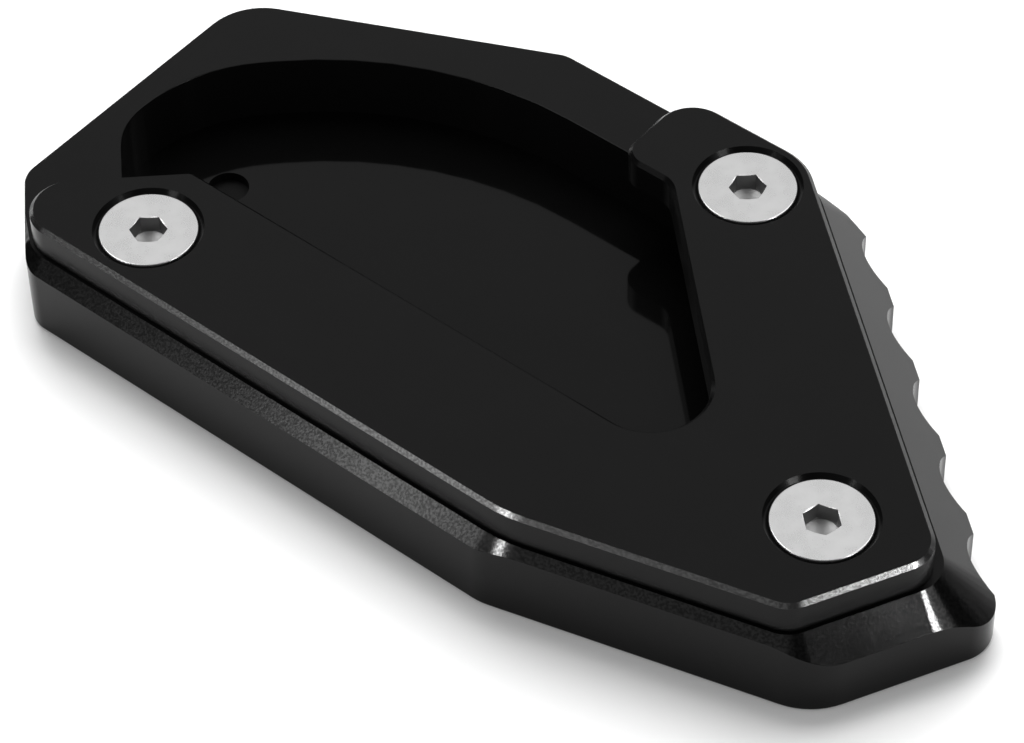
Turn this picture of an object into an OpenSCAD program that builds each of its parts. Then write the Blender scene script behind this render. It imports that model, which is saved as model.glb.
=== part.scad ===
// Kickstand foot enlarger: a milled base plate whose pocket takes the stand's foot,
// and a clamp plate that three countersunk screws pull down over the foot's edge.
// Plan outlines are lists of straight walls. A wall is given by the direction that it
// faces, its distance from the origin, and the radius of the corner that follows it.
// The long straight edge runs along X, and Z is up.

/* [Thicknesses] */
// Thickness of the base plate
base_t = 11; // [9:0.5:14]
// Thickness of the pocket's floor
floor_t = 2; // [1.5:0.1:3]
// Thickness of the clamp plate
clamp_t = 4.4; // [4.2:0.1:6]

/* [Clamp plate outside] */
// Distance from the origin to the long front-left side
front_left_d = 32.9; // [30:0.1:36]
// Turn of the front side from the front-left side
front_turn = 15; // [10:1:20]
// Distance from the origin to the front side
front_d = 36.4; // [35:0.1:38]
// Turn of the right-front side from the front-left side
right_front_turn = 62; // [56:1:68]
// Distance from the origin to the right-front side
right_front_d = 56.3; // [53:0.1:60]
// Direction that the right side faces
right_face = 50; // [46:1:54]
// Distance from the origin to the right side
right_d = 32.7; // [31:0.1:36]
// Distance from the origin to the rear side
rear_d = 33.3; // [32:0.1:36]
// Direction that the left end faces
left_end_face = 133; // [128:1:138]
// How far the left end's line passes outside the base's sharp left corner
left_end_past = 2.2; // [1.6:0.1:3]
// Corner radius between the front-left and front sides
front_r = 20; // [8:1:30]
// Corner radius at the right-front corner
right_front_r = 4; // [2:0.5:6]
// Corner radius at the right corner
right_r = 4.5; // [2:0.5:6]
// Corner radius round the rear screw
rear_r = 8; // [5:0.5:9]
// Corner radius of the left end
left_end_r = 5; // [4:0.5:6.5]
// Width of the chamfer round the top edge
edge_chamfer = 0.5; // [0.2:0.05:0.8]

/* [Clamp plate inside] */
// Distance from the origin to the inner edge of the front bar
bar_inner_d = 14.3; // [13:0.1:15]
// Direction that the pocket's side under the right arm faces
arm_inner_face = 46; // [43:1:49]
// Distance from the origin to the right arm's inner edge
arm_inner_d = 14.8; // [13.5:0.1:15.5]
// Radius of the inner corner between bar and arm
inner_r = 7; // [5:0.5:8]
// Distance from the origin to the left edge of the rear lobe
lobe_left_d = 7.3; // [6:0.1:9]
// Distance from the origin to the front edge of the rear lobe
lobe_front_d = 20; // [19:0.1:21]
// Radius of the rear lobe's upper left corner
lobe_r = 5; // [3:0.5:6]
// Radius at the two ends of the rear lobe's front edge
lobe_low_r = 3; // [1.5:0.5:4]
// Radius of the bar's inner left corner
bar_end_r = 1.5; // [1:0.5:3]

/* [Base plate] */
// Flat ledge of the base that shows round the clamp plate
ledge = 0.4; // [0.2:0.1:1]
// Flat ledge along the clamp plate's right side
right_ledge = 1.25; // [0.8:0.05:2]
// Width of the sloping chamfer on the front-left side
front_left_slope = 1.7; // [1:0.1:2.5]
// Width of the sloping chamfer on the front side
front_slope = 1.1; // [0.6:0.1:2]
// Width of the sloping chamfer on the right-front side
right_front_slope = 3.4; // [2.5:0.1:4.5]
// Width of the sloping chamfer on the scalloped right side
right_slope = 5.85; // [5:0.05:7]
// How far the clamp plate's rear side stands past the base's rear wall
rear_step = 0.1; // [0:0.05:0.4]
// Direction that the rear-left wall faces
rear_left_face = 115; // [111:1:119]
// How much the rear-left wall cuts off the corner of the rear and left walls
rear_left_cut = 16.4; // [14:0.1:18]
// Distance from the origin to the left wall
left_d = 64.8; // [63:0.1:68]
// Direction that the slanting wall at the left end of the clamp plate faces
left_front_face = 224; // [220:1:230]
// How much that slanting wall cuts off the corner of the left and front-left walls
left_front_cut = 7.4; // [6:0.1:8.5]
// Corner radius at the front of the base
base_front_r = 8; // [4:1:15]
// Corner radius at the right-front corner of the base
base_right_front_r = 9; // [4:1:12]
// Corner radius at the right corner of the base
base_right_r = 5; // [3:0.5:7]
// Corner radius between the rear-left and left walls of the base
base_left_r = 8; // [4:0.5:10]
// Radius of the other corners of the base
base_corner_r = 4; // [2:0.5:6]
// How far the rear end of the scalloped side stands past the rear wall
tip_reach = 1.9; // [1:0.1:3]
// How far along the rear wall the back of that end begins
tip_length = 9.5; // [6:0.1:12]
// Direction that the back of that end faces
tip_back_face = 120; // [112:1:128]
// Radius at the tip of the scalloped side's rear end
tip_r = 1; // [0.5:0.1:1.2]

/* [Scallops] */
// Number of scallops along the right side
scallop_count = 5; // [4:1:5]
// Distance from one scallop to the next
scallop_pitch = 12.1; // [11:0.1:12.5]
// Radius of a scallop
scallop_r = 6.2; // [5:0.1:7]
// Depth of a scallop below the side's straight line
scallop_depth = 1.9; // [1:0.1:2.4]
// Distance along the side from the origin's level to the first scallop
scallop_start = -3.9; // [-5:0.1:-3]

/* [Pocket] */
// How far the clamp plate reaches over the pocket
overhang = 4.3; // [3:0.1:4.5]
// Rim between the pocket and the left wall
left_rim = 3.4; // [2.5:0.1:5]
// Direction that the pocket's rear-left side faces
pocket_left_face = 135; // [132:1:138]
// How much the pocket's rear-left side cuts off the corner of its rear and left sides
pocket_left_cut = 15.7; // [14.5:0.1:17]
// Rim between the pocket and the slanting wall at its left-front side
left_front_rim = 11.9; // [11:0.1:14]
// Radius of the long rear curve of the pocket
pocket_rear_r = 50; // [40:1:52]
// Radius of the left end of the pocket
pocket_left_r = 21; // [16:1:21]
// Radius of the pocket's left-front corner
pocket_corner_r = 9.5; // [8:0.5:9.5]
// Radius of the pocket's hidden front-left corner
pocket_front_r = 5; // [3:0.5:8]
// Radius of the pocket's hidden rear corner
pocket_end_r = 4; // [3:0.5:6]
// Diameter of the blind recess in the floor
recess_d = 5.2; // [4:0.1:7]
// Depth of the blind recess
recess_depth = 1.3; // [0.8:0.1:1.4]
// Distance of the recess from the pocket's left side
recess_from_left = 11.3; // [9:0.1:15]
// Distance of the recess from the inner edge of the clamp's bar
recess_from_bar = 10; // [7:0.1:12]

/* [Screws] */
// Thread diameter
screw_d = 6; // [5:0.5:6]
// Length from the head's face to the tip
screw_len = 12; // [10:0.5:13]
// Diameter of the countersunk head
head_d = 12; // [11:0.1:12.5]
// Height of the thin cylinder at the head's rim
head_rim = 0.45; // [0.2:0.05:0.6]
// How far the head's face lies below the top of the clamp plate
head_sink = 0.25; // [0.1:0.05:0.6]
// Width across the flats of the hexagon socket
socket_af = 4; // [3:0.5:5]
// Depth of the socket's straight sides
socket_depth = 2.3; // [1.5:0.1:2.6]
// Turn of the left screw's socket, as it was tightened
left_socket_turn = 40; // [0:1:59]
// Turn of the rear screw's socket
rear_socket_turn = 42; // [0:1:59]
// Turn of the front screw's socket
front_socket_turn = 17; // [0:1:59]
// Chamfer at the tip of the thread
tip_chamfer = 0.8; // [0.4:0.1:1.2]
// Left screw's distance from the front-left side
left_screw_side = 8.25; // [7.5:0.05:10]
// Left screw's distance from the left end
left_screw_end = 9.2; // [8.5:0.05:11]
// Rear screw's distance from the rear and right sides
rear_screw_edge = 8; // [7.5:0.1:8.5]
// Front screw's distance from the right side
front_screw_right = 11.7; // [9:0.1:13]
// Front screw's distance from the right-front side
front_screw_front = 10.3; // [8.5:0.1:12]

/* [Clearances] */
// Radial play of the thread in the base
thread_gap = 0.05; // [0.03:0.01:0.1]
// Radial play of the thread in the clamp plate
clamp_gap = 0.3; // [0.2:0.05:0.5]
// Play between the head's cone and its countersink
seat_gap = 0.02; // [0.01:0.01:0.05]

/* [Hidden] */
$fn = 96;
// Extra length of a cut past the face that it opens
past = 1;
// Largest turn between two points on a rounded corner
arc_step = 6;
// Distance from the origin to a wall that lies outside the part
far = 90;
// Corner radius where one stretch of an outline ends inside another
joint_r = 1;
// Direction in which the sloping chamfer's left end faces
slope_end_face = 180 + right_face;
FRONT_LEFT = 270;
front_face = FRONT_LEFT + front_turn;
right_front_face = FRONT_LEFT + right_front_turn;
head_top = base_t + clamp_t - head_sink;

// Straight walls of the base: direction, distance and radius of the next corner
base_long = [FRONT_LEFT, front_left_d + ledge + front_left_slope, base_front_r];
base_rear = [90, rear_d - rear_step, base_corner_r];
base_left = [180, left_d, base_corner_r];
base_left_front = [
    left_front_face, cut_off(base_left, base_long, left_front_face, left_front_cut), base_corner_r
];

// Straight walls of the clamp plate, written in the same way
long_side = [FRONT_LEFT, front_left_d, front_r];
front_side = [front_face, front_d, right_front_r];
right_front_side = [right_front_face, right_front_d, right_r];
right_side = [right_face, right_d, rear_r];
rear_side = [90, rear_d, lobe_r];
lobe_side = [180, lobe_left_d, lobe_low_r];
lobe_front = [270, -lobe_front_d, lobe_low_r];
arm_inside = [180 + arm_inner_face, -arm_inner_d, inner_r];
bar_inside = [90, -bar_inner_d, bar_end_r];
left_end = [left_end_face, cut_off(base_left, base_long, left_end_face, -left_end_past), left_end_r];
clamp_walls = [
    long_side, front_side, right_front_side, right_side, rear_side,
    lobe_side, lobe_front, arm_inside, bar_inside, left_end
];

// Top outline of the sloping chamfer, open to the rear and left
left_end_centre = arc_centre(left_end, long_side, left_end_r);
slope_walls = [
    [FRONT_LEFT, front_left_d + ledge, front_r + ledge],
    [front_face, front_d + ledge, right_front_r + ledge],
    [right_front_face, right_front_d + ledge, right_r + ledge],
    [right_face, right_d + right_ledge, rear_r + ledge],
    [90, rear_d + ledge, joint_r],
    [180, far, joint_r],
    [slope_end_face, left_end_centre * heading(slope_end_face) + left_end_r + ledge, left_end_r + ledge]
];

base_right_d = right_d + right_ledge + right_slope;
base_walls = [
    base_long,
    [front_face, front_d + ledge + front_slope, base_right_front_r],
    [right_front_face, right_front_d + ledge + right_front_slope, base_right_r],
    [right_face, base_right_d, tip_r],
    [90, base_rear[1] + tip_reach, tip_r],
    [tip_back_face, tip_back_d(), tip_r],
    base_rear,
    [rear_left_face, cut_off(base_rear, base_left, rear_left_face, rear_left_cut), base_left_r],
    base_left,
    base_left_front
];

pocket_rear = [90, lobe_front_d + overhang, pocket_rear_r];
pocket_left = [180, left_d - left_rim, pocket_corner_r];
pocket_walls = [
    [FRONT_LEFT, bar_inner_d + overhang, inner_r + overhang],
    [arm_inner_face, arm_inner_d + overhang, pocket_end_r],
    pocket_rear,
    [pocket_left_face, cut_off(pocket_rear, pocket_left, pocket_left_face, pocket_left_cut), pocket_left_r],
    pocket_left,
    [left_front_face, base_left_front[1] - left_front_rim, pocket_front_r]
];

left_screw = meet(inset(left_end, left_screw_end), inset(long_side, left_screw_side));
rear_screw = meet(inset(right_side, rear_screw_edge), inset(rear_side, rear_screw_edge));
front_screw = meet(inset(right_front_side, front_screw_front), inset(right_side, front_screw_right));
screw_places = [left_screw, rear_screw, front_screw];
recess = [-left_d + left_rim + recess_from_left, -bar_inner_d + recess_from_bar];

// Unit vector that points in direction a
function heading(a) = [cos(a), sin(a)];
// Wall w moved inwards by g
function inset(w, g) = [w[0], w[1] - g];
// Corner point where walls v and w cross
function meet(v, w) =
    [v[1] * sin(w[0]) - w[1] * sin(v[0]), w[1] * cos(v[0]) - v[1] * cos(w[0])] / sin(w[0] - v[0]);
// Signed turn from direction a to direction b, between -180 and 180
function turn(a, b) = ((b - a) % 360 + 540) % 360 - 180;
// Centre of the arc of signed radius r between walls v and w
function arc_centre(v, w, r) =
    let (t = turn(v[0], w[0])) meet(v, w) - r / cos(t / 2) * heading(v[0] + t / 2);
// Number of straight steps in the rounded corner between walls v and w
function corner_steps(v, w) = max(2, ceil(abs(turn(v[0], w[0])) / arc_step));
// Number of the outline's point at which the corner after wall k begins
function first_point(walls, k) =
    k == 0 ? 0 : first_point(walls, k - 1) + corner_steps(walls[k - 1], walls[k]) + 1;
// Points of the rounded corner between walls v and w, with v and w moved in by gv and gw
function corner(v, w, gv, gw) =
    let (
        t = turn(v[0], w[0]),
        r = sign(t) * v[2] - (gv + gw) / 2,
        centre = arc_centre(inset(v, gv), inset(w, gw), r),
        steps = corner_steps(v, w)
    )
    [for (i = [0:steps]) centre + r * heading(v[0] + t * i / steps)];
// Outline of a list of walls, each moved in by its own gap
function outline(walls, gaps) =
    [for (i = [0:len(walls) - 1])
        let (j = (i + 1) % len(walls))
        each corner(walls[i], walls[j], gaps[i], gaps[j])];
// One gap of g for every wall
function even(walls, g) = [for (w = walls) g];
// Outline lifted to height z
function lifted(points, z) = [for (p = points) [p[0], p[1], z]];
// Distance of a wall that faces direction a and cuts so much off the corner of v and w
function cut_off(v, w, a, depth) = meet(v, w) * heading(a) - depth;
// Distance of the wall at the back of the scalloped side's rear end
function tip_back_d() =
    (meet([right_face, base_right_d], base_rear) - [tip_length, 0]) * heading(tip_back_face);

// Solid through a list of rings that all have as many points, lowest first. Each of the
// caps lists the points of one stretch of a ring, all of which its first point sees.
module skin(rings, caps) {
    n = len(rings[0]);
    top = (len(rings) - 1) * n;
    polyhedron(
        points = [for (r = rings) each r],
        faces = concat(
            caps,
            [for (c = caps) [for (i = [len(c):-1:1]) top + c[i % len(c)]]],
            [for (k = [0:len(rings) - 2], i = [0:n - 1])
                [k * n + i, (k + 1) * n + i, (k + 1) * n + (i + 1) % n, k * n + (i + 1) % n]]
        )
    );
}

// Space below a 45 degree slope that starts at height z along the walls' top outline
module slope_space(walls, z) {
    drop = z + past;
    edge = outline(walls, even(walls, 0));
    skin(
        [lifted(outline(walls, even(walls, -drop)), z - drop), lifted(edge, z)],
        [[for (i = [0:len(edge) - 1]) i]]
    );
}

// Straight plate between two heights with the outline of a list of walls
module plate(walls, low, high) {
    translate([0, 0, low])
        linear_extrude(high - low)
            polygon(outline(walls, even(walls, 0)));
}

// The clamp plate before its holes are cut. Its flat faces are cut in two where the rear
// lobe begins, because no point sees the whole of such a bent outline.
module clamp_body() {
    top = base_t + clamp_t;
    straight = outline(clamp_walls, even(clamp_walls, 0));
    chamfered = outline(clamp_walls, even(clamp_walls, edge_chamfer));
    // Number of the outline's point at the front corner, from which bar and arm are seen
    lookout = first_point(clamp_walls, 2) - 1;
    // Numbers of the two points between which the lobe leaves the arm
    lobe_first = first_point(clamp_walls, 3);
    lobe_last = first_point(clamp_walls, 7) - 1;
    bar_and_arm = concat(
        [for (i = [lookout:lobe_first]) i],
        [for (i = [lobe_last:len(straight) - 1]) i],
        [for (i = [0:lookout - 1]) i]
    );
    skin(
        [lifted(straight, base_t), lifted(straight, top - edge_chamfer), lifted(chamfered, top)],
        [bar_and_arm, [for (i = [lobe_first:lobe_last]) i]]
    );
}

module scallops() {
    side = heading(right_face);
    along = heading(right_face - 90);
    for (i = [0:scallop_count - 1])
        translate([0, 0, -past])
            translate(
                side * (base_right_d + scallop_r - scallop_depth)
                + along * (scallop_start + i * scallop_pitch)
            )
                cylinder(r = scallop_r, h = base_t + 2 * past);
}

module base_plate() {
    color([0.03, 0.03, 0.035])
        difference() {
            intersection() {
                plate(base_walls, 0, base_t);
                slope_space(slope_walls, base_t);
            }
            scallops();
            plate(pocket_walls, floor_t, base_t + past);
            translate([recess[0], recess[1], floor_t - recess_depth])
                cylinder(d = recess_d, h = recess_depth + past);
            for (p = screw_places)
                translate([p[0], p[1], -past])
                    cylinder(r = screw_d / 2 + thread_gap, h = base_t + 2 * past);
        }
}

module clamp_plate() {
    // Radius of the countersink where it meets the top of the plate
    mouth_r = head_d / 2 + head_sink + head_rim + seat_gap;
    hole_r = screw_d / 2 + clamp_gap;
    color([0.04, 0.04, 0.045])
        difference() {
            clamp_body();
            for (p = screw_places)
                translate([p[0], p[1], base_t + clamp_t]) {
                    translate([0, 0, -clamp_t - past])
                        cylinder(r = hole_r, h = clamp_t + 2 * past);
                    translate([0, 0, hole_r - mouth_r])
                        cylinder(r1 = hole_r, r2 = mouth_r + past, h = mouth_r - hole_r + past);
                }
        }
}

module screw(place, socket_turn) {
    r = screw_d / 2;
    head_r = head_d / 2;
    socket_r = socket_af / 2 / cos(30);
    color([0.8, 0.8, 0.82])
        translate([place[0], place[1], head_top])
            difference() {
                rotate_extrude()
                    polygon([
                        [0, -screw_len],
                        [r - tip_chamfer, -screw_len],
                        [r, -screw_len + tip_chamfer],
                        [r, r - head_r - head_rim],
                        [head_r, -head_rim],
                        [head_r, 0],
                        [0, 0]
                    ]);
                rotate([0, 0, socket_turn])
                    translate([0, 0, -socket_depth])
                        cylinder(r = socket_r, h = socket_depth + past, $fn = 6);
                translate([0, 0, -socket_depth - socket_af / 2 * tan(30)])
                    cylinder(r1 = 0, r2 = socket_af / 2, h = socket_af / 2 * tan(30));
            }
}

module screw_left() {
    screw(left_screw, left_socket_turn);
}

module screw_rear() {
    screw(rear_screw, rear_socket_turn);
}

module screw_front() {
    screw(front_screw, front_socket_turn);
}

base_plate();
clamp_plate();
screw_left();
screw_rear();
screw_front();
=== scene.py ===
# %% [markdown]
# This lesson dresses a kickstand foot enlarger: a black anodised pad that is screwed to the
# foot of a motorcycle's side stand. The CAD model gives five pieces: the milled base, the
# clamp plate and three countersunk screws. Their sizes are right already, so the lesson only
# breaks the sharp edges, cuts the threads and sockets, and gives each piece its finish.

# %% Load the frame
import math

import bpy
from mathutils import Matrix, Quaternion, Vector


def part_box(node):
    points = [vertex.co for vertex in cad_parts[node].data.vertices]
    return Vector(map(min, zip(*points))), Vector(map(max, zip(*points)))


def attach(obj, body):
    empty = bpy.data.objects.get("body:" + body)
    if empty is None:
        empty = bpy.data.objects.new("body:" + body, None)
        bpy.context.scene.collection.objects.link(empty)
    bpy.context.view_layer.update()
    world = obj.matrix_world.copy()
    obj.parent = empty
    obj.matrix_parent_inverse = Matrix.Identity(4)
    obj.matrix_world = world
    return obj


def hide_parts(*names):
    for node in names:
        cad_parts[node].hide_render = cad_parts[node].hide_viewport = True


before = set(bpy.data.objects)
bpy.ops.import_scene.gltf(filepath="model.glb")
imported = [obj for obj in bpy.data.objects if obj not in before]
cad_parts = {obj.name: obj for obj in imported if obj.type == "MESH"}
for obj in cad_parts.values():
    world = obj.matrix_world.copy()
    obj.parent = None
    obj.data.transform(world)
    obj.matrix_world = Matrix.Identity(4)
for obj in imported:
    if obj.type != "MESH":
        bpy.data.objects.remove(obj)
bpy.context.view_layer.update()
MM = 0.001
print("CAD nodes:", sorted(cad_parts))

# %% [markdown]
# The camera comes first, because every later step is judged through it. The photograph was
# taken with a long lens from the front right, a little under 50 degrees above the ground,
# and its horizon leans by about a degree.

# %% Camera
AIM = Vector((5.0, -15.45, 15.1)) * MM
CAMERA_DISTANCE = 460.4 * MM
CAMERA_AZIMUTH = math.radians(-49.80)
CAMERA_ELEVATION = math.radians(47.75)
CAMERA_ROLL = math.radians(-1.34)
CAMERA_LENS = 140.6


def direction(azimuth, elevation):
    """Unit vector towards an azimuth from +X and an elevation above the ground."""
    flat = math.cos(elevation)
    return Vector((flat * math.cos(azimuth), flat * math.sin(azimuth), math.sin(elevation)))


toward_camera = direction(CAMERA_AZIMUTH, CAMERA_ELEVATION)
bpy.ops.object.camera_add(location=AIM + toward_camera * CAMERA_DISTANCE)
camera = bpy.context.active_object
camera.name = "photo_camera"
camera.rotation_mode = "QUATERNION"
level = toward_camera.to_track_quat("Z", "Y")
camera.rotation_quaternion = level @ Quaternion((0, 0, 1), CAMERA_ROLL)
camera.data.lens = CAMERA_LENS
camera.data.clip_start = 0.01
bpy.context.scene.camera = camera
print("camera at", [round(c / MM, 1) for c in camera.location], "mm")

# %% [markdown]
# Materials are easier to read as formulas than as node wires. A small class wraps a socket,
# so that an expression such as 1 - mask adds its own Math node. One method makes any other
# node from its type, its settings and the values of its sockets.


# %% Shader maths
class Value:
    """A node socket that can be used in a Python expression."""

    def __init__(self, shader, socket):
        self.shader = shader
        self.socket = socket

    def math(self, operation, *others):
        return self.shader.node("ShaderNodeMath", {"operation": operation}, self, *others)

    def __add__(self, other):
        return self.math("ADD", other)

    def __mul__(self, other):
        return self.math("MULTIPLY", other)

    def __sub__(self, other):
        return self.math("SUBTRACT", other)

    def __rsub__(self, other):
        return self.shader.node("ShaderNodeMath", {"operation": "SUBTRACT"}, other, self)

    def __rtruediv__(self, other):
        return self.shader.node("ShaderNodeMath", {"operation": "DIVIDE"}, other, self)

    __radd__ = __add__


class Shader:
    """The node tree of a new material, or of the world if one is given."""

    def __init__(self, name, world=None):
        self.material = world or bpy.data.materials.new(name)
        self.material.use_nodes = True
        self.tree = self.material.node_tree
        self.tree.nodes.clear()

    def node(self, kind, settings, *inputs, out=0, **named):
        """A new node. Its sockets are given in order or by name, with _ for a space."""
        made = self.tree.nodes.new(kind)
        for key, value in settings.items():
            setattr(made, key, value)
        pairs = list(enumerate(inputs))
        pairs += [(key.replace("_", " "), value) for key, value in named.items()]
        for key, value in pairs:
            if isinstance(value, Value):
                self.tree.links.new(value.socket, made.inputs[key])
            else:
                made.inputs[key].default_value = value
        return Value(self, made.outputs[out]) if made.outputs else made

    def place(self):
        """Object coordinates."""
        return self.node("ShaderNodeTexCoord", {}, out="Object")

    def part(self, vector, axis):
        """One coordinate of a vector."""
        return self.node("ShaderNodeSeparateXYZ", {}, vector, out=axis)

    def noise(self, vector, per_mm, detail=2.0, roughness=0.5):
        """Noise from 0 to 1 with so many lumps to a millimetre."""
        return self.node(
            "ShaderNodeTexNoise", {}, vector,
            Scale=per_mm / MM, Detail=detail, Roughness=roughness, out="Fac",
        )

    def ramp(self, value, low, high):
        """0 below low, 1 above high, smooth between."""
        return self.node(
            "ShaderNodeMapRange", {"interpolation_type": "SMOOTHSTEP"}, value,
            From_Min=low, From_Max=high, out="Result",
        )

    def blend(self, mask, a, b):
        """Colour a where the mask is 0 and b where it is 1."""
        made = self.tree.nodes.new("ShaderNodeMix")
        made.data_type = "RGBA"
        self.tree.links.new(mask.socket, made.inputs[0])
        for key, value in ((6, a), (7, b)):
            if isinstance(value, Value):
                self.tree.links.new(value.socket, made.inputs[key])
            else:
                made.inputs[key].default_value = value
        return Value(self, made.outputs[2])

    def bump(self, height, depth_mm):
        """Bump of so many millimetres between height 0 and 1."""
        return self.node(
            "ShaderNodeBump", {}, Strength=1.0, Distance=depth_mm * MM, Height=height,
        )

    def finish(self, **sockets):
        """Ends the material with one Principled shader."""
        end = self.node("ShaderNodeBsdfPrincipled", {}, out="BSDF", **sockets)
        self.node("ShaderNodeOutputMaterial", {"target": "ALL"}, Surface=end)
        return self.material


def grey(v):
    """A neutral colour."""
    return (v, v, v, 1.0)


print("shader helpers ready")

# %% [markdown]
# Anodising covers the aluminium with black glass-like oxide, which mirrors about a
# hundredth of the light. The milled 45 degree faces were cut with a coarser path, so the
# bright metal shows through more and they carry a fine grain. Where these faces turn away
# from the front, their tone is painted darker, as painted shade, and the upright walls are
# painted lighter than the tops, as painted light. Masks made from a surface's own direction
# and place tell these faces from the flat ones, so that one material serves the whole plate.
# The countersinks and the clamp's inner edges slope as well, but are dark and smooth, so they
# are taken out of the mask. The pocket's floor is the smoothest face, and mirrors the pocket's
# rear wall. The recess in that floor is dull.
#
# Each mask changes between the two numbers of a pair below: a distance from a screw's axis,
# a distance across the clamp's arm or bar, or a height.

# %% Black anodised finish
SCREW_NODES = ["screw_left", "screw_rear", "screw_front"]
SCREW_AXES = []
for node in SCREW_NODES:
    low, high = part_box(node)
    SCREW_AXES.append(((low.x + high.x) / 2, (low.y + high.y) / 2))
ARM_SIDE = direction(math.radians(46), 0)
# Slopes that face this way keep their bright spotted tone; the others are painted darker, as
# painted shade.
FRONT_SIDE = direction(math.radians(300), 0)
COUNTERSINK_EDGE = (6.7 * MM, 6.8 * MM)
ARM_EDGE = (15.6 * MM, 15.8 * MM)
BAR_EDGE = (-15.1 * MM, -14.9 * MM)
POCKET_FLOOR_TOP = (4 * MM, 5 * MM)
RECESS_TOP = (1.6 * MM, 1.9 * MM)
MOTTLE_PER_MM = 0.12
GRAIN_PER_MM = 3.2
FINE_GRAIN_PER_MM = 7.0
GRAIN_DEPTH_MM = 0.004
OXIDE_TONES = (0.0018, 0.0026)
# The upright walls get this lighter tone as painted light, not as a tone of the oxide.
WALL_PAINTED_LIGHT_TONE = 0.0055
OXIDE_SPECULAR = 0.105
POCKET_ROUGH = 0.06
RECESS_ROUGH = 0.5


def anodised(name, slope_tone, flat_rough, slope_rough):
    """Black oxide, with bare metal of one tone on the slopes, painted shade where they face away
    from the front, and painted light on the upright walls.
    """
    s = Shader(name)
    place = s.place()
    x = s.part(place, "X")
    y = s.part(place, "Y")
    z = s.part(place, "Z")
    normal = s.node("ShaderNodeTexCoord", {}, out="Normal")
    up = s.part(normal, "Z")
    slope = s.ramp(up, 0.60, 0.66) * (1 - s.ramp(up, 0.76, 0.82))
    for axis_x, axis_y in SCREW_AXES:
        from_axis = ((x - axis_x) * (x - axis_x) + (y - axis_y) * (y - axis_y)).math("SQRT")
        slope = slope * s.ramp(from_axis, *COUNTERSINK_EDGE)
    across = x * ARM_SIDE.x + y * ARM_SIDE.y
    inner = (1 - s.ramp(across, *ARM_EDGE)) * s.ramp(y, *BAR_EDGE)
    slope = slope * (1 - inner)
    front = s.part(normal, "X") * FRONT_SIDE.x + s.part(normal, "Y") * FRONT_SIDE.y
    # This mask is 1 on slopes that face the front: they keep the grain and the bright tone, and
    # the rest are painted darker, as painted shade.
    coarse_and_lit = slope * s.ramp(front, 0.0, 0.3)
    pocket_floor = s.ramp(up, 0.9, 0.95) * (1 - s.ramp(z, *POCKET_FLOOR_TOP))
    recess = pocket_floor * (1 - s.ramp(z, *RECESS_TOP))
    wall = 1 - s.ramp(up.math("ABSOLUTE"), 0.1, 0.3)
    mottle = s.noise(place, MOTTLE_PER_MM, detail=4.0, roughness=0.6)
    grain = s.noise(place, GRAIN_PER_MM, detail=1.0, roughness=0.6)
    fine = s.noise(place, FINE_GRAIN_PER_MM, detail=1.0)
    oxide_and_wall_light = s.blend(mottle, grey(OXIDE_TONES[0]), grey(OXIDE_TONES[1]))
    # The upright walls are painted lighter than the tops, as painted light.
    oxide_and_wall_light = s.blend(wall, oxide_and_wall_light, grey(WALL_PAINTED_LIGHT_TONE))
    spots = s.blend(s.ramp(grain, 0.35, 0.65), grey(slope_tone * 0.7), grey(slope_tone * 1.3))
    # Slopes facing away from the front get a fifth of the tone, as painted shade.
    metal_and_shade = s.blend(coarse_and_lit, grey(slope_tone * 0.2), spots)
    bare = slope * (0.5 + coarse_and_lit * 0.5)
    rough = flat_rough + (mottle - 0.5) * 0.06 - pocket_floor * (flat_rough - POCKET_ROUGH)
    rough = rough + slope * (slope_rough - flat_rough) + (slope - coarse_and_lit) * 0.15
    rough = rough + recess * RECESS_ROUGH
    height = grain * coarse_and_lit * 0.8 + fine * (0.2 - pocket_floor * 0.18)
    return s.finish(
        Base_Color=s.blend(slope, oxide_and_wall_light, metal_and_shade), Metallic=bare, Roughness=rough,
        Specular_IOR_Level=OXIDE_SPECULAR, Normal=s.bump(height, GRAIN_DEPTH_MM),
    )


base_finish = anodised("black_base", slope_tone=0.060, flat_rough=0.20, slope_rough=0.10)
clamp_finish = anodised("black_clamp", slope_tone=0.180, flat_rough=0.22, slope_rough=0.20)
print("anodised finishes:", base_finish.name, clamp_finish.name)

# %% [markdown]
# The screws are stainless steel. Their faces were turned on a lathe, which leaves very fine
# rings round the screw's own axis. The rings are a wave of the distance from that axis, so
# each screw gets its own copy of the material, centred by a Mapping node. The walls of
# the socket were punched, not turned, and are duller than the face. They and the socket's
# bottom are also painted darker, as painted shade in the socket. Their mask goes by the depth
# below the face and the distance from the axis.

# %% Turned steel finish
RING_PITCH = 0.22 * MM
PUNCHED_DEPTH = (0.12 * MM, 0.16 * MM)
PUNCHED_RADIUS = (2.35 * MM, 2.45 * MM)
TURNED_TONES = (0.54, 0.59)
# The socket's tone is painted shade, darker than the turned face.
SOCKET_SHADE_TONE = 0.34
STEEL_BUMP_MM = 0.0012


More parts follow.
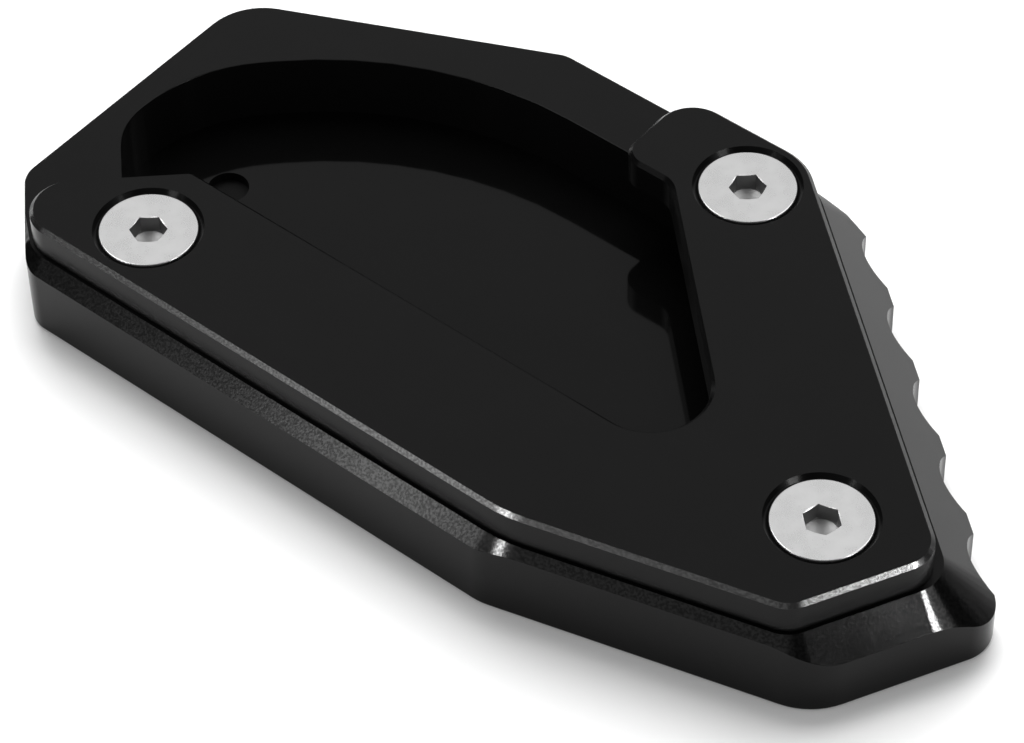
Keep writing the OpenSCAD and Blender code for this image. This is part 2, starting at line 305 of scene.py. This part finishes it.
def turned_steel(name, centre):
    """Steel with fine rings round one screw's axis and a duller socket with painted shade."""
    s = Shader(name)
    local = s.node(
        "ShaderNodeMapping", {"vector_type": "POINT"}, s.place(),
        Location=(-centre[0], -centre[1], -centre[2]),
    )
    x = s.part(local, "X")
    y = s.part(local, "Y")
    radius = (x * x + y * y).math("SQRT")
    wobble = s.noise(local, 0.5, detail=2.0)
    rings = (radius * (2 * math.pi / RING_PITCH) + wobble * 3.0).math("SINE")
    grain = s.noise(local, 5.0, detail=2.0)
    tone = s.ramp(s.noise(local, 0.35, detail=3.0), 0.3, 0.7)
    depth = s.part(local, "Z") * -1
    # This mask covers the socket: it makes it duller and paints shade in it.
    punched_and_shaded = s.ramp(depth, *PUNCHED_DEPTH) * (1 - s.ramp(radius, *PUNCHED_RADIUS))
    turned = s.blend(tone, grey(TURNED_TONES[0]), grey(TURNED_TONES[1]))
    # The socket is painted darker, as painted shade.
    colour = s.blend(punched_and_shaded, turned, grey(SOCKET_SHADE_TONE))
    rough = 0.24 + grain * 0.06 + tone * 0.03 + punched_and_shaded * 0.16
    height = rings * 0.12 + grain * 0.4
    return s.finish(
        Base_Color=colour, Metallic=1.0, Roughness=rough,
        Normal=s.bump(height, STEEL_BUMP_MM),
    )


print("steel finish ready")

# %% [markdown]
# A CAD node comes as loose triangles. A copy is merged and its flat faces are joined again,
# which leaves only the real edges. Then an edge can be chosen in code by its place and
# bevelled, as a milling cutter or a file would break it.

# %% Copy and choose
NEAR = 0.01 * MM
SHARP = math.radians(60)


def deselect():
    bpy.ops.object.select_all(action="DESELECT")


def activate(piece):
    deselect()
    piece.select_set(True)
    bpy.context.view_layer.objects.active = piece


def solid_copy(node, name):
    """A merged copy of a CAD node, as a new piece."""
    piece = bpy.data.objects.new(name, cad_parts[node].data.copy())
    piece.data.name = name
    bpy.context.scene.collection.objects.link(piece)
    piece.data.materials.clear()
    activate(piece)
    bpy.ops.object.mode_set(mode="EDIT")
    bpy.ops.mesh.select_all(action="SELECT")
    bpy.ops.mesh.remove_doubles(threshold=0.002 * MM)
    bpy.ops.mesh.customdata_custom_splitnormals_clear()
    bpy.ops.mesh.dissolve_limited(angle_limit=math.radians(0.5))
    bpy.ops.object.mode_set(mode="OBJECT")
    return piece


def bevel_at(piece, level, width, segments):
    """Bevels the sharp edges that lie at one height."""
    mesh = piece.data
    sides = {}
    for face in mesh.polygons:
        for key in face.edge_keys:
            sides.setdefault(key, []).append(face.normal.copy())
    for block in (mesh.vertices, mesh.edges, mesh.polygons):
        block.foreach_set("select", [False] * len(block))
    count = 0
    for edge in mesh.edges:
        normals = sides[tuple(sorted(edge.vertices))]
        at_level = all(abs(mesh.vertices[i].co.z - level) < NEAR for i in edge.vertices)
        if at_level and len(normals) == 2 and normals[0].angle(normals[1], 0.0) > SHARP:
            edge.select = True
            count += 1
    activate(piece)
    bpy.ops.object.mode_set(mode="EDIT")
    bpy.ops.mesh.select_mode(type="EDGE")
    bpy.ops.mesh.bevel(offset=width, segments=segments, affect="EDGES", clamp_overlap=False)
    bpy.ops.object.mode_set(mode="OBJECT")
    print(piece.name, "bevelled", count, "edges by", round(width / MM, 2), "mm")


def smooth(piece, angle):
    """Smooth shading over round edges only, with the large faces kept flat."""
    activate(piece)
    bpy.ops.object.shade_smooth_by_angle(angle=math.radians(angle))
    even = piece.modifiers.new("even", "WEIGHTED_NORMAL")
    even.mode = "FACE_AREA"
    even.weight = 100
    even.keep_sharp = True
    bpy.ops.object.modifier_apply(modifier=even.name)


def dress(piece, material, node):
    """Gives a piece its finish and its body, and hides the CAD node that it stands for."""
    piece.data.materials.clear()
    piece.data.materials.append(material)
    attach(piece, "root")
    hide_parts(node)


base_low, base_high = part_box("base_plate")
clamp_low, clamp_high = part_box("clamp_plate")
print("base top at", round(base_high.z / MM, 2), "mm, clamp top at", round(clamp_high.z / MM, 2))

# %% [markdown]
# The base plate is one block of aluminium. Its lower edge has a small chamfer, which shows
# in the photograph as a thin light line just above the ground. The pocket's rim and the
# walls' upper edges are only broken by hand.

# %% Base plate
BOTTOM_CHAMFER = 0.35 * MM
RIM_BREAK = 0.18 * MM
base = solid_copy("base_plate", "milled_base")
bevel_at(base, base_low.z, BOTTOM_CHAMFER, 3)
bevel_at(base, base_high.z, RIM_BREAK, 3)
smooth(base, 35)
dress(base, base_finish, "base_plate")

# %% [markdown]
# The clamp plate has its wide chamfer in the CAD model. Here its lower edge gets a fine
# break, so that a dark line parts it from the base.

# %% Clamp plate
CLAMP_BREAK = 0.12 * MM
clamp = solid_copy("clamp_plate", "clamp_plate_body")
bevel_at(clamp, clamp_low.z, CLAMP_BREAK, 1)
smooth(clamp, 30)
dress(clamp, clamp_finish, "clamp_plate")

# %% [markdown]
# A countersunk screw is turned from bar: a flat face, a short rim, a cone and a threaded
# shank. It starts as a disc, whose lower face is extruded and resized step by step. The
# socket is cut by a hexagonal prism with a cone at its mouth and another at its bottom.

# %% Screws
HEAD_RIM = 0.45 * MM
HEAD_BREAK = 0.20 * MM
SHANK_RADIUS = 3.0 * MM
NECK = 0.6 * MM
TIP = 0.4 * MM
PITCH = 1.0 * MM
THREAD_DEPTH = 0.54 * MM
THREAD_BELOW_CONE = 1.0 * MM
THREAD_ABOVE_END = 0.3 * MM
SOCKET_FLATS = 4.0 * MM
SOCKET_DEPTH = 2.3 * MM
MOUTH_CHAMFER = 0.27 * MM
MOUTH_SLOPE = math.radians(22)
DRILL_SLOPE = math.radians(30)


def extrude_to(depth, factor):
    """Extrudes the selected lower face down by depth and resizes it by factor."""
    bpy.ops.mesh.extrude_region_move(TRANSFORM_OT_translate={"value": (0, 0, -depth)})
    bpy.ops.transform.resize(value=(factor, factor, 1))


def select_lowest(piece):
    """Selects the lowest face and stays in edit mode."""
    bpy.ops.object.mode_set(mode="OBJECT")
    lowest = min(v.co.z for v in piece.data.vertices)
    for face in piece.data.polygons:
        face.select = all(piece.data.vertices[i].co.z < lowest + 1e-7 for i in face.vertices)
    for edge in piece.data.edges:
        edge.select = False
    bpy.ops.object.mode_set(mode="EDIT")
    bpy.ops.mesh.select_mode(type="FACE")


def cutter(kind, **sizes):
    """A new primitive that will be cut out of a piece."""
    deselect()
    kind(**sizes)
    return bpy.context.active_object


def cut_away(piece, tool):
    """Cuts the tool's shape out of the piece and deletes the tool."""
    activate(piece)
    cut = piece.modifiers.new("cut", "BOOLEAN")
    cut.operation = "DIFFERENCE"
    cut.solver = "EXACT"
    cut.object = tool
    bpy.ops.object.modifier_apply(modifier=cut.name)
    bpy.data.objects.remove(tool)


def make_thread(name, radius, depth, low, high):
    """A ridge that winds round the Z axis from low to high, rooted in a core."""
    root = radius - 0.05 * MM
    tip = radius + depth
    half = PITCH * 0.42
    mesh = bpy.data.meshes.new(name)
    mesh.from_pydata(
        [(root, 0, -half), (tip, 0, -PITCH / 16), (tip, 0, PITCH / 16), (root, 0, half)],
        [(0, 1), (1, 2), (2, 3), (3, 0)], [],
    )
    ridge = bpy.data.objects.new(name, mesh)
    bpy.context.scene.collection.objects.link(ridge)
    ridge.location.z = low + half
    activate(ridge)
    turns = (high - low - 2 * half) / PITCH
    wind = ridge.modifiers.new("wind", "SCREW")
    wind.angle = turns * 2 * math.pi
    wind.screw_offset = turns * PITCH
    wind.steps = int(turns * 36)
    wind.render_steps = wind.steps
    bpy.ops.object.modifier_apply(modifier=wind.name)
    bpy.ops.object.transform_apply(location=True)
    bpy.ops.object.mode_set(mode="EDIT")
    bpy.ops.mesh.select_all(action="SELECT")
    bpy.ops.mesh.remove_doubles(threshold=0.001 * MM)
    bpy.ops.mesh.select_all(action="DESELECT")
    bpy.ops.mesh.select_mode(type="EDGE")
    bpy.ops.mesh.select_non_manifold()
    bpy.ops.mesh.fill_holes(sides=4)
    bpy.ops.mesh.select_all(action="SELECT")
    bpy.ops.mesh.normals_make_consistent(inside=False)
    bpy.ops.object.mode_set(mode="OBJECT")
    return ridge


def make_screw(name, node, socket_turn):
    """A screw in its CAD node's place, with its socket turned by so many degrees."""
    low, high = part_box(node)
    centre = Vector(((low.x + high.x) / 2, (low.y + high.y) / 2, high.z))
    length = high.z - low.z
    head_r = (high.x - low.x) / 2
    cone = head_r - SHANK_RADIUS
    core_r = SHANK_RADIUS - THREAD_DEPTH
    deselect()
    bpy.ops.mesh.primitive_cylinder_add(
        vertices=96, radius=head_r, depth=HEAD_RIM, location=(0, 0, -HEAD_RIM / 2),
        end_fill_type="NGON",
    )
    screw = bpy.context.active_object
    screw.name = name
    bpy.ops.object.transform_apply(location=True)
    select_lowest(screw)
    extrude_to(cone, SHANK_RADIUS / head_r)
    extrude_to(NECK, 1.0)
    extrude_to(THREAD_DEPTH, core_r / SHANK_RADIUS)
    extrude_to(length - HEAD_RIM - cone - NECK - THREAD_DEPTH - TIP, 1.0)
    extrude_to(TIP, 0.85)
    bpy.ops.object.mode_set(mode="OBJECT")
    bevel_at(screw, 0.0, HEAD_BREAK, 3)
    hexagon = cutter(
        bpy.ops.mesh.primitive_cylinder_add, vertices=6,
        radius=SOCKET_FLATS / 2 / math.cos(math.pi / 6), depth=2 * SOCKET_DEPTH,
        rotation=(0, 0, math.radians(socket_turn - 90)),
    )
    cut_away(screw, hexagon)
    mouth_r = SOCKET_FLATS / 2 + MOUTH_CHAMFER
    mouth = cutter(
        bpy.ops.mesh.primitive_cone_add, vertices=72, radius1=0.0, radius2=mouth_r * 2,
        depth=mouth_r * 2 * math.tan(MOUTH_SLOPE), location=(0, 0, 0),
    )
    cut_away(screw, mouth)
    drill_r = SOCKET_FLATS / 2 * 0.98
    drill_depth = drill_r * math.tan(DRILL_SLOPE)
    drill = cutter(
        bpy.ops.mesh.primitive_cone_add, vertices=48, radius1=0.0, radius2=drill_r,
        depth=drill_depth, location=(0, 0, -SOCKET_DEPTH - drill_depth / 2 + 0.001 * MM),
    )
    cut_away(screw, drill)
    ridge = make_thread(
        name + "_thread", core_r, THREAD_DEPTH,
        low=THREAD_ABOVE_END - length, high=-HEAD_RIM - cone - THREAD_BELOW_CONE,
    )
    activate(screw)
    ridge.select_set(True)
    bpy.ops.object.join()
    screw.location = centre
    bpy.ops.object.transform_apply(location=True)
    smooth(screw, 30)
    dress(screw, turned_steel(name + "_steel", centre), node)
    print(name, "faces", len(screw.data.polygons), "at", [round(c / MM, 2) for c in centre])


SOCKET_TURNS = [40, 42, 17]
for node, socket_turn in zip(SCREW_NODES, SOCKET_TURNS):
    make_screw(node + "_turned", node, socket_turn)

# %% [markdown]
# The pad lies on white paper that runs to the horizon. Near the pad the paper is lit almost
# only by the lamps and the surroundings, so it keeps the contact shadow. Farther out a glow
# of its own keeps it white, as a paper sweep that is lit from behind. It lies a hair under
# the pad, because two surfaces in one plane would flicker when they are seen from below.

# %% Floor
FLOOR_RADIUS = 6.0
FLOOR_GAP = 0.02 * MM
PAPER_TONE = 0.92
NEAR_GLOW = 0.03
FAR_GLOW = 0.45
GLOW_RADII = (0.15, 1.0)
deselect()
bpy.ops.mesh.primitive_circle_add(
    vertices=64, radius=FLOOR_RADIUS, fill_type="NGON", location=(0, 0, -FLOOR_GAP),
)
floor = bpy.context.active_object
floor.name = "paper_floor"
bpy.ops.object.transform_apply(location=True)
paper = Shader("paper_floor")
paper_place = paper.place()
paper_x = paper.part(paper_place, "X")
paper_y = paper.part(paper_place, "Y")
paper_radius = (paper_x * paper_x + paper_y * paper_y).math("SQRT")
glow = NEAR_GLOW + paper.ramp(paper_radius, *GLOW_RADII) * (FAR_GLOW - NEAR_GLOW)
paper.finish(
    Base_Color=grey(PAPER_TONE), Roughness=1.0, Specular_IOR_Level=0.0,
    Emission_Color=paper.blend(glow, grey(0.0), grey(1.0)), Emission_Strength=1.0,
)
floor.data.materials.append(paper.material)
print("floor radius", FLOOR_RADIUS, "m")

# %% [markdown]
# Black metal shows its surroundings and little else. One wide lamp behind the pad lights
# the paper. A narrow strip at the front left and a wider one on the right draw the light
# streaks at the corners of the sloping edge, and a dim lamp beside the right strip lets its
# streak fade out. Two square lamps, high on the left and on the right, light the rims of
# the screw heads. All but the first are seen only by what mirrors them, so the paper stays
# even.


# %% Lamps
def lamp(name, azimuth, elevation, distance, size, watts, mirrored=True):
    """A lamp that points at the pad, in degrees and metres. Only mirrors see it, or all else."""
    away = direction(math.radians(azimuth), math.radians(elevation))
    bpy.ops.object.light_add(type="AREA", location=away * distance)
    made = bpy.context.active_object
    made.name = name
    made.rotation_mode = "QUATERNION"
    made.rotation_quaternion = away.to_track_quat("Z", "Y")
    made.data.shape = "RECTANGLE"
    made.data.size = size[0]
    made.data.size_y = size[1]
    made.data.energy = watts
    made.visible_diffuse = not mirrored
    made.visible_glossy = mirrored


lamp("paper_light", 130, 57, 1.2, (1.0, 1.0), 20, mirrored=False)
lamp("front_left_strip", 255, 32, 1.0, (0.05, 0.30), 0.7)
lamp("right_strip", 1.8, 31, 1.0, (0.13, 0.30), 2.3)
lamp("right_glow", 15, 31, 1.0, (0.35, 0.30), 0.22)
lamp("rear_left", 200, 55, 1.0, (0.50, 0.50), 3.0)
lamp("rear_right", 60, 55, 1.0, (0.50, 0.50), 2.2)

# %% [markdown]
# The camera sees the world as plain white, and matt surfaces get an even light from it.
# Mirrors see a studio instead. A white card stands high behind the pad, where the flat
# faces mirror it, the room in front is a little lighter than the rest, and a tall soft
# window shines along the front left slope. All else above the paper is dark, as black cards
# make it in a studio.

# %% Surroundings
CARD = direction(math.radians(128), math.radians(50))
ROOM = direction(math.radians(275), math.radians(45))
WINDOW_AZIMUTH = math.radians(-120.4)
WINDOW_HALF_WIDTH = math.radians(1.0)
WINDOW_TONE = 2.8
CARD_TONE = 0.97
ROOM_TONE = 0.15
DARK_TONE = 0.05
EVEN_LIGHT = 0.50

world = bpy.data.worlds.new("studio")
bpy.context.scene.world = world
sky = Shader("studio", world)
ray = sky.node("ShaderNodeLightPath", {}, out="Is Camera Ray")
glossy = sky.node("ShaderNodeLightPath", {}, out="Is Glossy Ray")
through = sky.node("ShaderNodeLightPath", {}, out="Is Transmission Ray")
look = sky.node("ShaderNodeTexCoord", {}, out="Generated")
look_x = sky.part(look, "X")
look_y = sky.part(look, "Y")
look_z = sky.part(look, "Z")
toward_card = look_x * CARD.x + look_y * CARD.y + look_z * CARD.z
toward_room = look_x * ROOM.x + look_y * ROOM.y + look_z * ROOM.z
azimuth = look_y.math("ARCTAN2", look_x)
off_window = (azimuth - WINDOW_AZIMUTH) * (1 / WINDOW_HALF_WIDTH)
window = WINDOW_TONE / (off_window * off_window + 1.0)
window = window * sky.ramp(look_z, 0.15, 0.30) * (1 - sky.ramp(look_z, 0.65, 0.80))
tone = DARK_TONE + sky.ramp(toward_card, 0.62, 0.80) * CARD_TONE
tone = tone + sky.ramp(toward_room, 0.75, 0.95) * ROOM_TONE + window
mirror_light = (glossy + through).math("MINIMUM", 1.0) * tone
even_light = (1 - (ray + glossy + through).math("MINIMUM", 1.0)) * EVEN_LIGHT
strength = ray.math("MAXIMUM", mirror_light) + even_light
light = sky.node("ShaderNodeBackground", {}, Color=grey(1.0), Strength=strength)
sky.node("ShaderNodeOutputWorld", {}, Surface=light)
bpy.context.scene.view_settings.view_transform = "Standard"
print("world", world.name, "has", len(sky.tree.nodes), "nodes")
